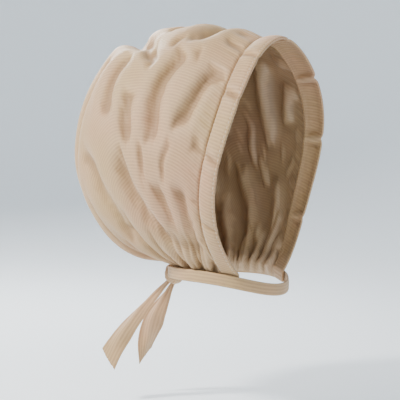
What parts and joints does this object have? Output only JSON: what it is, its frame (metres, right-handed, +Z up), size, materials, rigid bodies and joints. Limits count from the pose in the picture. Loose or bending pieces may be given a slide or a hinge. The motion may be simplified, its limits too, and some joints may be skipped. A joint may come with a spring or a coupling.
{
  "type": "rain bonnet",
  "caption": "Gathered knitted hood as worn, with a face band and a ribbon that runs under the chin and is knotted at the nape.",
  "frame": {"origin": "on the inside of the hood, on the middle plane, where the top of the head holds it up", "axes": "+Z up, -Y the way the face looks, +X the wearer's left"},
  "size_m": [0.196, 0.2197, 0.3313],
  "materials": {
    "knit": "fine beige knit with a faint sheen"
  },
  "bodies": {
    "root": {"hood": "knit", "face_band": "knit", "neck_ribbon": "knit", "knot": "knit", "long_end": "knit", "short_end": "knit"}
  },
  "joints": []
}
